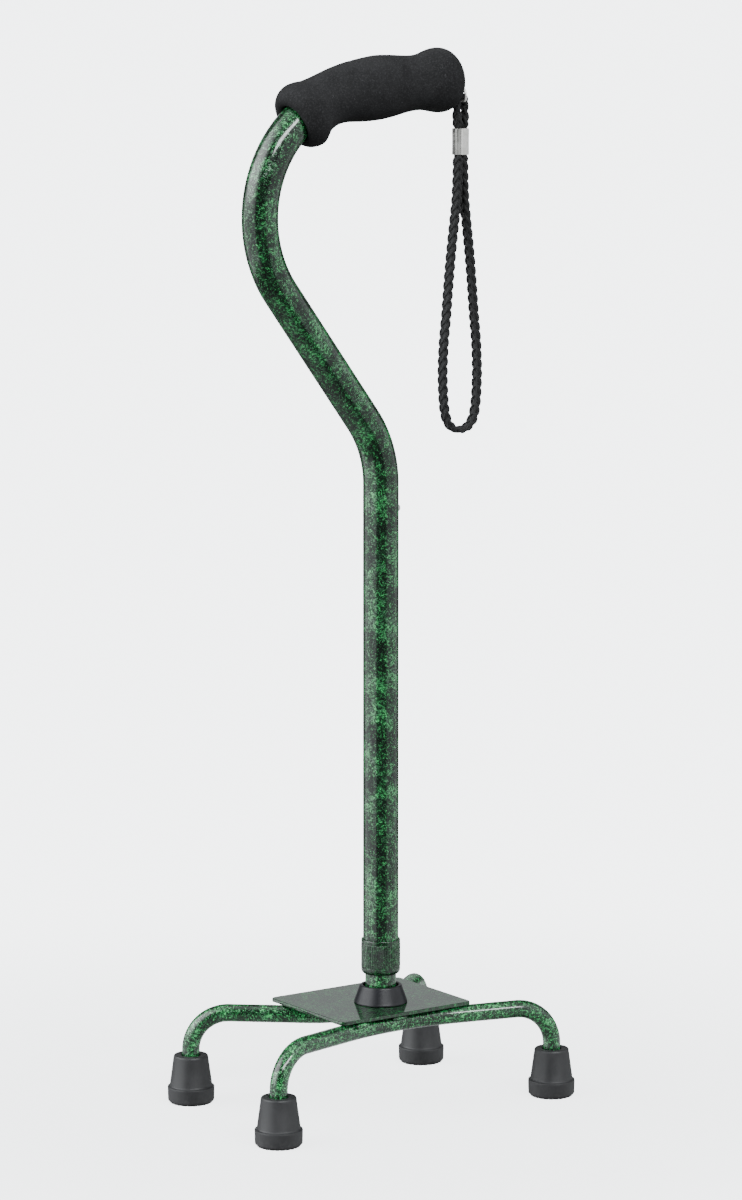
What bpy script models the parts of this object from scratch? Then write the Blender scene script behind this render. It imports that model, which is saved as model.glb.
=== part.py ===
"""Quad walking cane: a swan-neck handle tube that slides on an inner tube, bolted to a four-legged base.

Units are metres, +Z is up, and the floor is z = 0.  The origin is the middle of the base's footprint.
+X is the way the grip points, and +Y is the side of the more widely splayed pair of legs.
"""
import math

import bmesh
import bpy
from mathutils import Matrix, Vector

MM = 0.001

# Driving dimensions
SHAFT = Vector((0.0025, -0.017, 0.0))   # the shaft's axis, seen from above
TUBE_R = 12.7 * MM                      # 1 inch handle tube
TUBE_BORE_R = 11.4 * MM
INNER_R = 11.1 * MM                     # 7/8 inch inner tube
INNER_BORE_R = 9.8 * MM
GAP = 0.3 * MM                          # clearance between pieces that touch

# Swan neck, from the bottom up, in the plane of the handle
TUBE_FOOT_Z = 104.0 * MM
NECK_START_Z = 452.0 * MM
LOWER_BEND_R = 78.0 * MM
NECK_LEAN = math.radians(36.8)
NECK_STRAIGHT = 115.4 * MM
UPPER_BEND_R = 86.5 * MM
GRIP_RISE = math.radians(5.2)
GRIP_STRAIGHT = 82.0 * MM               # from the end of the bend to the tube's open end
END_WALL = 6.3 * MM                     # foam past the tube's end
MOUTH_ANGLE = math.radians(39.5)        # how far round the upper bend the foam reaches

# Height setting
HOLE_PITCH = 19.05 * MM                 # 3/4 inch
HOLE_COUNT = 13
HOLE_R = 3.4 * MM
BUTTON_Z = 434.0 * MM
BUTTON_R = 3.0 * MM
INNER_TOP_Z = 448.0 * MM

# Lock collar
COLLAR_R = 14.1 * MM
COLLAR_Z = (97.6 * MM, 122.7 * MM)

# Base
PLATE_SIZE = (114.0 * MM, 93.0 * MM, 2.6 * MM)
PLATE_CENTRE = Vector((0.5 * MM, -7.3 * MM, 74.5 * MM))
PLATE_CORNER_R = 5.0 * MM
LEG_R = 6.35 * MM                       # 1/2 inch leg tube
LEG_BORE_R = 4.95 * MM
LEG_Z = 66.5 * MM
LEG_BEND_R = 28.0 * MM
LEG_FOOT_Z = 11.0 * MM
TIP_HEIGHT = 35.0 * MM
# each pair of legs is one tube: middle of the pair, half its span, its feet's y, splay, middle bend radius
FRONT_LEGS = {"mid": 0.0, "half": 0.1195, "y": -0.067, "splay": math.radians(14), "bend": 0.200}
REAR_LEGS = {"mid": -0.004, "half": 0.1025, "y": 0.067, "splay": math.radians(-40), "bend": 0.060}

# Wrist strap
STRAP_X = 71.4 * MM                     # the strap's middle, along X
EYE_Z = 731.5 * MM
EYE_R = 3.0 * MM
WIRE_R = 0.9 * MM
RING_BAR_Z = 720.6 * MM                 # the straight bottom bar of the ring
RING_ARC_Z = 724.7 * MM
RING_HALF = 5.9 * MM
CORD_SIZE = (4.2 * MM, 6.2 * MM)        # thickness and width of the flat braid
WRAP_R = WIRE_R + GAP + CORD_SIZE[0] / 2
STRAND = 2.25 * MM                      # half the distance between the strands in the ferrule
FERRULE_Z = (682.5 * MM, 701.2 * MM)
# the free loop below the ferrule, down one side: (distance from the strap's middle, height)
STRAP_LOOP = [(2.25, 681.0), (2.65, 666.0), (3.45, 650.5), (4.8, 639.0), (7.8, 615.0), (10.2, 591.5),
              (12.2, 568.6), (14.1, 550.8), (15.0, 535.0), (15.1, 523.0), (14.3, 508.0), (12.9, 498.5),
              (10.3, 491.8), (5.6, 487.5), (0.0, 486.3)]


# ---------------------------------------------------------------- scene helpers

def clear_scene():
    for old in list(bpy.data.objects):
        bpy.data.objects.remove(old, do_unlink=True)


def new_collection(name):
    made = bpy.data.collections.new(name)
    bpy.context.scene.collection.children.link(made)
    return made


clear_scene()
PARTS = new_collection("quad_cane")
CUTTERS = new_collection("quad_cane_cutters")


def material(name, colour, roughness, metallic=0.0):
    made = bpy.data.materials.new(name)
    made.use_nodes = True
    shader = made.node_tree.nodes["Principled BSDF"]
    shader.inputs["Base Color"].default_value = (*colour, 1.0)
    shader.inputs["Roughness"].default_value = roughness
    shader.inputs["Metallic"].default_value = metallic
    return made


GREEN_PAINT = material("green_crackle_paint", (0.02, 0.09, 0.04), 0.22)
FOAM = material("charcoal_foam", (0.024, 0.024, 0.026), 0.9)
RUBBER = material("grey_rubber", (0.05, 0.05, 0.052), 0.7)
PLASTIC = material("black_plastic", (0.02, 0.02, 0.023), 0.35)
NYLON = material("white_nylon", (0.7, 0.7, 0.68), 0.5)
STEEL = material("zinc_steel", (0.6, 0.6, 0.6), 0.3, 1.0)
NICKEL = material("nickel", (0.75, 0.74, 0.72), 0.15, 1.0)
BRAID = material("black_braid", (0.012, 0.012, 0.013), 0.85)


def add_object(name, data, finish=None, place=(0, 0, 0), parent=None):
    """Add a part made of mesh or curve data, or a cutter if it has no finish."""
    made = bpy.data.objects.new(name, data)
    (PARTS if finish else CUTTERS).objects.link(made)
    made.location = place
    if finish:
        if not data.materials:
            data.materials.append(finish)
    else:
        made.hide_render = True
        made.display_type = "WIRE"
    if parent:
        made.parent = parent
    return made


def add_pivot(name, place, parent=None):
    pivot = bpy.data.objects.new(name, None)
    pivot.empty_display_size = 0.02
    PARTS.objects.link(pivot)
    pivot.location = place
    pivot.parent = parent
    return pivot


def to_mesh(curve_object, finish=None):
    """Turn a curve object into a mesh object with its caps welded."""
    graph = bpy.context.evaluated_depsgraph_get()
    data = bpy.data.meshes.new_from_object(curve_object.evaluated_get(graph))
    body = bmesh.new()
    body.from_mesh(data)
    bmesh.ops.remove_doubles(body, verts=body.verts, dist=0.00001)
    bmesh.ops.recalc_face_normals(body, faces=body.faces)
    body.to_mesh(data)
    body.free()
    data.materials.clear()
    name = curve_object.name
    place = curve_object.matrix_world.copy()
    parent = curve_object.parent
    bpy.data.objects.remove(curve_object, do_unlink=True)
    made = add_object(name, data, finish)
    made.matrix_world = place
    if parent:
        made.parent = parent
        made.matrix_parent_inverse = parent.matrix_world.inverted()
    data.name = name
    smooth(data)
    return made


def smooth(data, angle=35):
    data.shade_smooth()
    data.set_sharp_from_angle(angle=math.radians(angle))


def cut(body, cutter, operation="DIFFERENCE"):
    boolean = body.modifiers.new(operation.lower() + "_" + cutter.name, "BOOLEAN")
    boolean.operation = operation
    boolean.object = cutter


def around(radius, sides):
    """Radius of the corners of a polygon that clears a circle."""
    return radius / math.cos(math.pi / sides)


# ---------------------------------------------------------------- shape helpers

def turned(name, profile, finish=None, place=(0, 0, 0), steps=32, parent=None, turn=360):
    """A turned piece: profile points (radius, height) in mm run down the outer side, top to bottom."""
    body = bmesh.new()
    corners = [body.verts.new((r * MM, 0, z * MM)) for r, z in profile]
    for first, second in zip(corners, corners[1:]):
        body.edges.new((first, second))
    if profile[0][0] > 0:
        body.edges.new((corners[-1], corners[0]))
    data = bpy.data.meshes.new(name)
    body.to_mesh(data)
    body.free()
    made = add_object(name, data, finish, place, parent)
    screw = made.modifiers.new("turn", "SCREW")
    screw.steps = steps
    screw.render_steps = steps
    screw.angle = math.radians(turn)
    screw.use_merge_vertices = True
    screw.merge_threshold = 0.00001
    screw.use_smooth_shade = False
    return made


def rod(name, radius, length, finish=None, place=(0, 0, 0), axis="Z", sides=24, parent=None, spin=0.0):
    """A cylinder centred on its place, along X, Y or Z."""
    body = bmesh.new()
    bmesh.ops.create_cone(body, cap_ends=True, segments=sides, radius1=radius, radius2=radius, depth=length)
    data = bpy.data.meshes.new(name)
    body.to_mesh(data)
    body.free()
    smooth(data)
    made = add_object(name, data, finish, place, parent)
    turns = {"X": (0, math.pi / 2, 0), "Y": (math.pi / 2, 0, 0), "Z": (0, 0, spin)}
    made.rotation_euler = turns[axis]
    return made


def box(name, size, finish=None, place=(0, 0, 0), corner=0.0, parent=None):
    """A box centred on its place, with its upright edges rounded."""
    body = bmesh.new()
    bmesh.ops.create_cube(body, size=1.0)
    bmesh.ops.scale(body, vec=size, verts=body.verts)
    if corner:
        upright = [e for e in body.edges if abs(e.verts[0].co.z - e.verts[1].co.z) > size[2] / 2]
        bmesh.ops.bevel(body, geom=upright, offset=corner, segments=4, profile=0.5, affect="EDGES")
    data = bpy.data.meshes.new(name)
    body.to_mesh(data)
    body.free()
    return add_object(name, data, finish, place, parent)


def pipe(name, path, radius, finish=None, sides=12, cyclic=False, radii=None, parent=None, place=(0, 0, 0)):
    """A round bar along a path, as a curve that is then made a mesh."""
    curve = bpy.data.curves.new(name, "CURVE")
    curve.dimensions = "3D"
    curve.twist_mode = "MINIMUM"
    curve.bevel_depth = radius
    curve.bevel_resolution = (sides - 4) // 2
    curve.use_fill_caps = not cyclic
    spline = curve.splines.new("POLY")
    spline.points.add(len(path) - 1)
    for number, point in enumerate(path):
        spline.points[number].co = (*point, 1.0)
        spline.points[number].radius = radii[number] / radius if radii else 1.0
    spline.use_cyclic_u = cyclic
    return to_mesh(add_object(name, curve, None, place, parent), finish)


def arc(centre, radius, start, end, steps):
    """Points (x, z) of an arc in the XZ plane, from one angle to another."""
    cx, cz = centre
    turn = (end - start) / steps
    return [(cx + radius * math.cos(start + n * turn), cz + radius * math.sin(start + n * turn))
            for n in range(steps + 1)]


def upright(points, x=0.0, y=0.0):
    """Points (x, z) in the XZ plane as 3-D points."""
    return [Vector((x + px, y, pz)) for px, pz in points]


# ---------------------------------------------------------------- handle

def neck_centres():
    """Centres of the lower and the upper bend, measured from the shaft's axis."""
    lower = (-LOWER_BEND_R, NECK_START_Z)
    reach = LOWER_BEND_R + UPPER_BEND_R
    upper = (lower[0] + reach * math.cos(NECK_LEAN) - NECK_STRAIGHT * math.sin(NECK_LEAN),
             lower[1] + reach * math.sin(NECK_LEAN) + NECK_STRAIGHT * math.cos(NECK_LEAN))
    return lower, upper


def grip_point(along, up=0.0):
    """A point on the straight part of the grip's axis, from the end of the bend towards its open end."""
    cx, cz = neck_centres()[1]
    reach = UPPER_BEND_R + up
    return (cx - reach * math.sin(GRIP_RISE) + along * math.cos(GRIP_RISE),
            cz + reach * math.cos(GRIP_RISE) + along * math.sin(GRIP_RISE))


def neck_path(start_z, end_along):
    """The tube's centre line, (x, z) from the shaft's axis."""
    lower, upper = neck_centres()
    path = [(0.0, start_z)]
    path += arc(lower, LOWER_BEND_R, 0.0, NECK_LEAN, 5)
    path += arc(upper, UPPER_BEND_R, math.pi + NECK_LEAN, math.pi / 2 + GRIP_RISE, 14)
    path.append(grip_point(end_along))
    return path


def handle_tube(handle):
    outer = pipe("handle_tube", upright(neck_path(TUBE_FOOT_Z, GRIP_STRAIGHT)), TUBE_R, GREEN_PAINT,
                 sides=20, parent=handle, place=(0, 0, 0))
    path = neck_path(TUBE_FOOT_Z - 0.01, GRIP_STRAIGHT + 0.01)
    bore = pipe("handle_bore", upright(path, SHAFT.x, SHAFT.y), around(TUBE_BORE_R, 16), sides=16)
    cut(outer, bore)
    holes = bmesh.new()
    for number in range(HOLE_COUNT):
        spot = Vector((SHAFT.x + TUBE_R, SHAFT.y, BUTTON_Z - number * HOLE_PITCH))
        turn = Matrix.Translation(spot) @ Matrix.Rotation(math.pi / 2, 4, "Y")
        bmesh.ops.create_cone(holes, cap_ends=True, segments=12, radius1=around(HOLE_R, 12),
                              radius2=around(HOLE_R, 12), depth=0.008, matrix=turn)
    data = bpy.data.meshes.new("height_holes")
    holes.to_mesh(data)
    holes.free()
    cut(outer, add_object("height_holes", data))
    return outer


def foam_profile():
    """Radius of the foam, in mm, against the distance along it from its mouth."""
    return [(0.0, 16.2), (0.8, 18.6), (3.5, 21.2), (9.0, 23.3), (15.0, 23.6), (20.0, 22.3), (27.0, 20.0),
            (35.0, 19.2), (44.0, 19.5), (56.0, 20.9), (68.0, 21.9), (80.0, 21.9), (92.0, 20.7),
            (104.0, 19.3), (113.0, 19.2), (121.0, 20.8), (127.0, 22.3), (132.5, 22.9), (138.0, 21.8),
            (142.3, 18.6), (145.4, 13.4), (147.4, 7.0)]


def foam_point(along):
    """A point (x, z) of the foam's centre line at a distance along it from its mouth."""
    round_bend = MOUTH_ANGLE * UPPER_BEND_R
    if along > round_bend:
        return grip_point(along - round_bend)
    cx, cz = neck_centres()[1]
    angle = math.pi / 2 + GRIP_RISE + (round_bend - along) / UPPER_BEND_R
    return cx + UPPER_BEND_R * math.cos(angle), cz + UPPER_BEND_R * math.sin(angle)


def foam_grip(handle):
    profile = foam_profile()
    path = [foam_point(s * MM) for s, _ in profile]
    grip = pipe("foam_grip", upright(path), 0.02, FOAM, sides=20, radii=[r * MM for _, r in profile],
                parent=handle)
    stops = [-8.0, -4.0, 0.0] + [s for s in range(8, 61, 8)]
    bore_path = [foam_point(s * MM) for s in stops] + [grip_point(GRIP_STRAIGHT + GAP)]
    bore = pipe("foam_bore", upright(bore_path, SHAFT.x, SHAFT.y), around(TUBE_R + GAP, 20), sides=20)
    cut(grip, bore)
    shank = rod("foam_shank_hole", 1.5 * MM, 0.03, sides=10)
    place_on_grip(shank, GRIP_STRAIGHT + 0.005, eye_drop())
    cut(grip, shank)
    return grip


def place_on_grip(piece, along, drop):
    """Lay a Z-aligned piece along the grip's axis, a distance below it."""
    x, z = grip_point(along, -drop)
    piece.parent = None
    piece.location = (SHAFT.x + x, SHAFT.y, z)
    piece.rotation_euler = (0, math.pi / 2 - GRIP_RISE, 0)


def eye_drop():
    """How far the strap eye sits below the grip's axis."""
    x, z = grip_point(0.0)
    dx = STRAP_X - SHAFT.x - x
    dz = EYE_Z - z
    return dx * math.sin(GRIP_RISE) - dz * math.cos(GRIP_RISE)


def eye_along():
    x, z = grip_point(0.0)
    dx = STRAP_X - SHAFT.x - x
    dz = EYE_Z - z
    return dx * math.cos(GRIP_RISE) + dz * math.sin(GRIP_RISE)


def handle_end_plug():
    length = 0.022
    plug = rod("handle_end_plug", 10.9 * MM, length, NYLON, sides=20)
    place_on_grip(plug, GRIP_STRAIGHT - length / 2, 0.0)
    shank = rod("plug_shank_hole", 1.5 * MM, 0.028, sides=10)
    place_on_grip(shank, GRIP_STRAIGHT, eye_drop())
    cut(plug, shank)
    return plug


def strap_eye():
    steps = 16
    ring = [(EYE_R * math.cos(n * math.tau / steps), EYE_R * math.sin(n * math.tau / steps))
            for n in range(steps)]
    eye = pipe("strap_eye", upright(ring), WIRE_R, NICKEL, sides=8, cyclic=True)
    eye.location = (STRAP_X, SHAFT.y, EYE_Z)
    shank_length = 0.019
    shank = rod("eye_shank", WIRE_R * 1.15, shank_length, sides=10)
    place_on_grip(shank, eye_along() - EYE_R - shank_length / 2 + 0.0004, eye_drop())
    cut(eye, shank, "UNION")
    return eye


# ---------------------------------------------------------------- wrist strap

def strap_ring(pivot):
    """Wire ring in the YZ plane: round at the top, a straight bar at the bottom. Origin at its turning axis."""
    corner = 1.6 * MM
    bar = RING_BAR_Z - RING_ARC_Z
    outline = arc((0.0, 0.0), RING_HALF, 0.0, math.pi, 12)
    outline += arc((-RING_HALF + corner, bar + corner), corner, math.pi, 1.5 * math.pi, 4)
    outline += arc((RING_HALF - corner, bar + corner), corner, -0.5 * math.pi, 0.0, 4)
    path = [Vector((0.0, y, z)) for y, z in outline]
    return pipe("strap_ring", path, WIRE_R, NICKEL, sides=8, cyclic=True, parent=pivot)


def smooth_route(points, steps):
    """Points on a Catmull-Rom curve through the given ones."""
    ends = [2 * points[0] - points[1], *points, 2 * points[-1] - points[-2]]
    route = []
    for a, b, c, d in zip(ends, ends[1:], ends[2:], ends[3:]):
        for n in range(steps):
            t = n / steps
            route.append(0.5 * (2 * b + (c - a) * t + (2 * a - 5 * b + 4 * c - d) * t * t
                                + (3 * b - a - 3 * c + d) * t ** 3))
    return route + [points[-1]]


def strap_route():
    """The strap's centre line: from inside the ferrule over the ring's bar and round the loop."""
    butt = (FERRULE_Z[0] + FERRULE_Z[1]) / 2
    climb = [Vector((STRAND, 0, butt + GAP)), Vector((STRAND, 0, FERRULE_Z[1])),
             Vector((WRAP_R - 0.2 * MM, 0, 0.7085)), Vector((WRAP_R, 0, 0.7150))]
    over = upright(arc((0.0, RING_BAR_Z), WRAP_R, 0.0, math.pi, 6))
    down = [Vector((-p.x, 0, p.z)) for p in reversed(climb[1:])]
    side = [Vector((x * MM, 0, z * MM)) for x, z in STRAP_LOOP]
    loop = [Vector((-p.x, 0, p.z)) for p in side] + list(reversed(side[:-1]))
    points = climb + over + down + loop + [Vector((STRAND, 0, butt - GAP))]
    return smooth_route(points, 1)


def flat_braid_profile():
    """Cross-section of the braid: width across, thickness up."""
    thick, wide = CORD_SIZE[0] / 2, CORD_SIZE[1] / 2
    nose = 1.3 * MM
    return [(wide, 0), (wide - nose, thick), (0, thick), (nose - wide, thick), (-wide, 0),
            (nose - wide, -thick), (0, -thick), (wide - nose, -thick)]


def wrist_strap(pivot):
    """Flat braid swept along its route, its width along Y."""
    route = strap_route()
    section = flat_braid_profile()
    body = bmesh.new()
    rings = []
    for number, point in enumerate(route):
        before = route[max(number - 1, 0)]
        after = route[min(number + 1, len(route) - 1)]
        along = (after - before).normalized()
        across = Vector((along.z, 0, -along.x))
        rings.append([body.verts.new(point + Vector((0, w, 0)) + across * t) for w, t in section])
    for first, second in zip(rings, rings[1:]):
        for n in range(len(section)):
            m = (n + 1) % len(section)
            body.faces.new((first[n], first[m], second[m], second[n]))
    body.faces.new(rings[0])
    body.faces.new(rings[-1])
    bmesh.ops.recalc_face_normals(body, faces=body.faces)
    bmesh.ops.translate(body, vec=(0, 0, -RING_BAR_Z), verts=body.verts)
    data = bpy.data.meshes.new("wrist_strap")
    body.to_mesh(data)
    body.free()
    smooth(data)
    return add_object("wrist_strap", data, BRAID, parent=pivot)


def strap_ferrule(pivot):
    wall = 0.5 * MM
    middle = (FERRULE_Z[0] + FERRULE_Z[1]) / 2
    height = FERRULE_Z[1] - FERRULE_Z[0]
    inner = (2 * STRAND + CORD_SIZE[0] + 2 * GAP, CORD_SIZE[1] + 2 * GAP)
    outer = (inner[0] + 2 * wall, inner[1] + 2 * wall)
    ferrule = box("strap_ferrule", (*outer, height), NICKEL, (0, 0, middle - RING_BAR_Z), 2.0 * MM, pivot)
    hole = box("ferrule_hole", (*inner, height + 0.01), None, (STRAP_X, SHAFT.y, middle), 0.9 * MM)
    cut(ferrule, hole)
    return ferrule


# ---------------------------------------------------------------- height lock

def lock_collar(pivot):
    low, high = COLLAR_Z[0] / MM, COLLAR_Z[1] / MM
    grip = COLLAR_R / MM
    bore = around(TUBE_R / MM + 0.3, 32)
    profile = [(bore, high), (grip - 1.0, high), (grip, high - 1.2), (grip, low + 2.4), (grip - 1.6, low),
               (11.6, low), (11.6, low + 1.0), (bore, low + 1.0)]
    middle = (low + high) / 2
    profile = [(r, z - middle) for r, z in profile]
    return turned("lock_collar", profile, GREEN_PAINT, parent=pivot)


def collet_ring(handle):
    """Split nylon ring that the collar squeezes onto the inner tube, below the handle tube's end."""
    low = COLLAR_Z[0] / MM + 1.3
    high = TUBE_FOOT_Z / MM - 0.3
    profile = [(11.4, high), (12.8, high), (12.8, low + 1.4), (11.9, low), (11.4, low)]
    ring = turned("collet_ring", profile, NYLON, parent=handle)
    slit = box("collet_slit", (0.01, 0.002, 0.02), None, (SHAFT.x - 0.012, SHAFT.y, (low + high) / 2 * MM))
    cut(ring, slit)
    return ring


def inner_tube():
    profile = [(INNER_BORE_R / MM, INNER_TOP_Z / MM), (INNER_R / MM, INNER_TOP_Z / MM),
               (INNER_R / MM, 79.2), (INNER_BORE_R / MM, 79.2)]
    tube = turned("inner_tube", profile, GREEN_PAINT, SHAFT, steps=24)
    hole = rod("button_hole", around(BUTTON_R + GAP, 12), 0.008, None,
               (SHAFT.x + INNER_R, SHAFT.y, BUTTON_Z), "X", 12)
    cut(tube, hole)
    return tube


def tube_cap():
    top = INNER_TOP_Z / MM
    profile = [(0, top + 2.2), (10.4, top + 2.2), (11.0, top + 1.4), (11.0, top + 0.3), (9.4, top + 0.3),
               (9.4, top - 1.6), (0, top - 1.6)]
    return turned("tube_cap", profile, NYLON, SHAFT, steps=24)


def snap_button(pivot):
    """Turned button lying along X, its origin on the shaft's axis."""
    profile = [(0, 16.3), (1.3, 16.0), (2.3, 15.2), (2.9, 14.0), (3.0, 13.2), (3.0, 8.5), (4.1, 8.5),
               (4.1, 7.4), (0, 7.4)]
    button = turned("snap_button", profile, STEEL, steps=12, parent=pivot)
    button.rotation_euler = (0, math.pi / 2, 0)
    return button


def button_spring():
    """V-shaped leaf spring inside the inner tube, pushing the button out."""
    points = [(6.6, 447.0 - 1.0), (6.6, 430.0), (4.4, 412.0), (1.6, 401.0), (0.0, 399.0), (-1.6, 401.0),
              (-5.4, 418.0), (-8.4, 437.0), (-8.4, 446.0)]
    body = bmesh.new()
    line = [body.verts.new((x * MM, -4.0 * MM, z * MM)) for x, z in points]
    edges = [body.edges.new(pair) for pair in zip(line, line[1:])]
    drawn = bmesh.ops.extrude_edge_only(body, edges=edges)
    moved = [v for v in drawn["geom"] if isinstance(v, bmesh.types.BMVert)]
    bmesh.ops.translate(body, vec=(0, 8.0 * MM, 0), verts=moved)
    data = bpy.data.meshes.new("button_spring")
    body.to_mesh(data)
    body.free()
    spring = add_object("button_spring", data, STEEL, SHAFT)
    solid = spring.modifiers.new("thickness", "SOLIDIFY")
    solid.thickness = 0.8 * MM
    solid.offset = 0.0
    return spring


# ---------------------------------------------------------------- base

def base_socket():
    """Black cone that covers the foot of the shaft."""
    foot = plate_top() / MM + 0.3
    profile = [(12.9, foot + 12.7), (14.4, foot + 12.7), (15.0, foot + 12.0), (19.1, foot + 1.0),
               (19.1, foot), (11.5, foot), (11.5, foot + 9.0), (12.9, foot + 9.6)]
    return turned("base_socket", profile, PLASTIC, SHAFT, steps=40)


def plate_top():
    return PLATE_CENTRE.z + PLATE_SIZE[2] / 2


def plate_bottom():
    return PLATE_CENTRE.z - PLATE_SIZE[2] / 2


def base_spigot():
    """Steel plug in the foot of the inner tube, tapped for the bolt."""
    foot = plate_top() / MM + 0.3
    profile = [(4.3, 112.0), (8.6, 112.0), (9.4, 111.0), (9.4, foot + 2.8), (11.0, foot + 2.8),
               (11.0, foot), (4.3, foot)]
    return turned("base_spigot", profile, STEEL, SHAFT, steps=24)


def base_washer():
    top = plate_bottom() / MM - 0.3
    profile = [(4.3, top), (8.0, top), (8.0, top - 1.5), (4.3, top - 1.5)]
    return turned("base_washer", profile, STEEL, SHAFT, steps=24)


def base_bolt():
    head_top = plate_bottom() - 2.1 * MM
    head_height = 5.3 * MM
    top = 103.0 * MM
    bolt = rod("base_bolt", 7.5 * MM, head_height, STEEL, SHAFT + Vector((0, 0, head_top - head_height / 2)),
               sides=6)
    length = top - head_top + 0.001
    shank = rod("bolt_shank", 4.0 * MM, length, None, SHAFT + Vector((0, 0, top - length / 2)), sides=16)
    cut(bolt, shank, "UNION")
    return bolt


def base_plate():
    plate = box("base_plate", PLATE_SIZE, GREEN_PAINT, PLATE_CENTRE, PLATE_CORNER_R)
    hole = rod("plate_hole", 4.5 * MM, 0.02, None, SHAFT + Vector((0, 0, PLATE_CENTRE.z)), sides=16)
    cut(plate, hole)
    return plate


def leg_plan(legs, x):
    """The leg tube's y at an x measured from the pair's middle."""
    turn = legs["splay"]
    sag = legs["bend"] * (1 - math.cos(turn))
    half_arc = legs["bend"] * math.sin(abs(turn))
    slope = math.tan(turn)
    middle = legs["y"] + slope * (legs["half"] - half_arc) + math.copysign(sag, turn)
    x = abs(x)
    if x > half_arc:
        return middle - math.copysign(sag, turn) - slope * (x - half_arc)
    return middle - math.copysign(legs["bend"] - math.sqrt(legs["bend"] ** 2 - x * x), turn)


def leg_path(legs, foot_z):
    """Centre line of one leg tube, from the left foot to the right one."""
    turn = abs(legs["splay"])
    half_arc = legs["bend"] * math.sin(turn)
    outward = Vector((math.cos(turn), -math.sin(legs["splay"]), 0))
    side = []
    for n in range(4):
        x = half_arc * n / 3
        side.append(Vector((x, leg_plan(legs, x), LEG_Z)))
    foot = Vector((legs["half"], legs["y"], 0))
    for n in range(7):
        angle = n / 6 * math.pi / 2
        back = outward * LEG_BEND_R * (math.sin(angle) - 1)
        side.append(foot + back + Vector((0, 0, LEG_Z - LEG_BEND_R * (1 - math.cos(angle)))))
    side.append(foot + Vector((0, 0, foot_z)))
    other = [Vector((-p.x, p.y, p.z)) for p in side[1:]]
    path = list(reversed(other)) + side
    return [p + Vector((legs["mid"], 0, 0)) for p in path]


def leg_tube(name, legs):
    outer = pipe(name, leg_path(legs, LEG_FOOT_Z), LEG_R, GREEN_PAINT, sides=12)
    bore = pipe(name + "_bore", leg_path(legs, LEG_FOOT_Z - 0.01), LEG_BORE_R, sides=8)
    cut(outer, bore)
    return outer


def weld_bead(name, legs, x, side):
    """A short bead in the corner between a leg tube and the plate, on the +Y or -Y side of the tube."""
    radius = 1.5 * MM
    spot = Vector((x, leg_plan(legs, x), 0))
    ahead = Vector((x + MM, leg_plan(legs, x + MM), 0))
    along = (ahead - spot).normalized()
    across = Vector((-along.y, along.x, 0)) * side
    height = plate_bottom() - GAP - radius
    apart = LEG_R + radius + GAP
    reach = math.sqrt(apart ** 2 - (height - LEG_Z) ** 2)
    centre = spot + across * reach + Vector((legs["mid"], 0, height))
    path = [centre + along * MM * step for step in (-6.5, -5.5, -2.0, 2.0, 5.5, 6.5)]
    return pipe(name, path, radius, STEEL, sides=8, radii=[radius * k for k in (0.5, 0.9, 1, 1, 0.9, 0.5)])


# ---------------------------------------------------------------- rubber tips

def tip_mesh():
    """One rubber tip, turned about Z with the floor at z = 0; its tread has two grooves."""
    seat = LEG_FOOT_Z / MM - 2.0
    bore = around(LEG_R / MM + 0.3, 24)
    profile = [(0, seat), (bore, seat), (bore, 35.0), (11.6, 35.0), (12.4, 34.2), (15.5, 12.4),
               (17.0, 11.4), (16.8, 2.2), (14.8, 0.0), (12.6, 0.0), (12.2, 1.4), (10.4, 1.4), (10.0, 0.0),
               (6.4, 0.0), (0, 0.0)]
    return profile


def rubber_tips():
    spots = {"tip_front_left": (FRONT_LEGS, -1), "tip_front_right": (FRONT_LEGS, 1),
             "tip_rear_left": (REAR_LEGS, -1), "tip_rear_right": (REAR_LEGS, 1)}
    washer_low = LEG_FOOT_Z / MM - 1.7
    washer_profile = [(2.0, washer_low + 1.4), (6.1, washer_low + 1.4), (6.1, washer_low), (2.0, washer_low)]
    for name, (legs, side) in spots.items():
        spot = (legs["mid"] + side * legs["half"], legs["y"], 0)
        turned(name, tip_mesh(), RUBBER, spot, steps=24)
        turned(name.replace("tip", "tip_washer"), washer_profile, STEEL, spot, steps=16)


# ---------------------------------------------------------------- assembly

def build():
    handle = add_pivot("handle_slide", (SHAFT.x, SHAFT.y, 0))
    bpy.context.view_layer.update()
    handle_tube(handle)
    foam_grip(handle)
    handle_end_plug()
    strap_eye()
    collet_ring(handle)
    collar = add_pivot("collar_turn", (SHAFT.x, SHAFT.y, sum(COLLAR_Z) / 2))
    lock_collar(collar)

    ring_turn = add_pivot("strap_ring_turn", (STRAP_X, SHAFT.y, RING_ARC_Z))
    bpy.context.view_layer.update()
    strap_ring(ring_turn)
    strap_swing = add_pivot("strap_swing", (STRAP_X, SHAFT.y, RING_BAR_Z))
    wrist_strap(strap_swing)
    strap_ferrule(strap_swing)

    inner_tube()
    tube_cap()
    snap_button(add_pivot("button_press", (SHAFT.x, SHAFT.y, BUTTON_Z)))
    button_spring()
    base_socket()
    base_spigot()
    base_washer()
    base_bolt()
    base_plate()
    leg_tube("front_leg_tube", FRONT_LEGS)
    leg_tube("rear_leg_tube", REAR_LEGS)
    weld_bead("front_weld_left", FRONT_LEGS, -0.040, -1)
    weld_bead("front_weld_right", FRONT_LEGS, -0.004, -1)
    weld_bead("rear_weld_left", REAR_LEGS, -0.046, 1)
    weld_bead("rear_weld_right", REAR_LEGS, 0.046, 1)
    rubber_tips()


build()
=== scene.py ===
"""Looks of the quad walking cane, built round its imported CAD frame.  Metres, +Z up, floor at z = 0."""
import math
import random

import bmesh
import bpy
from mathutils import Matrix, Vector


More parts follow.
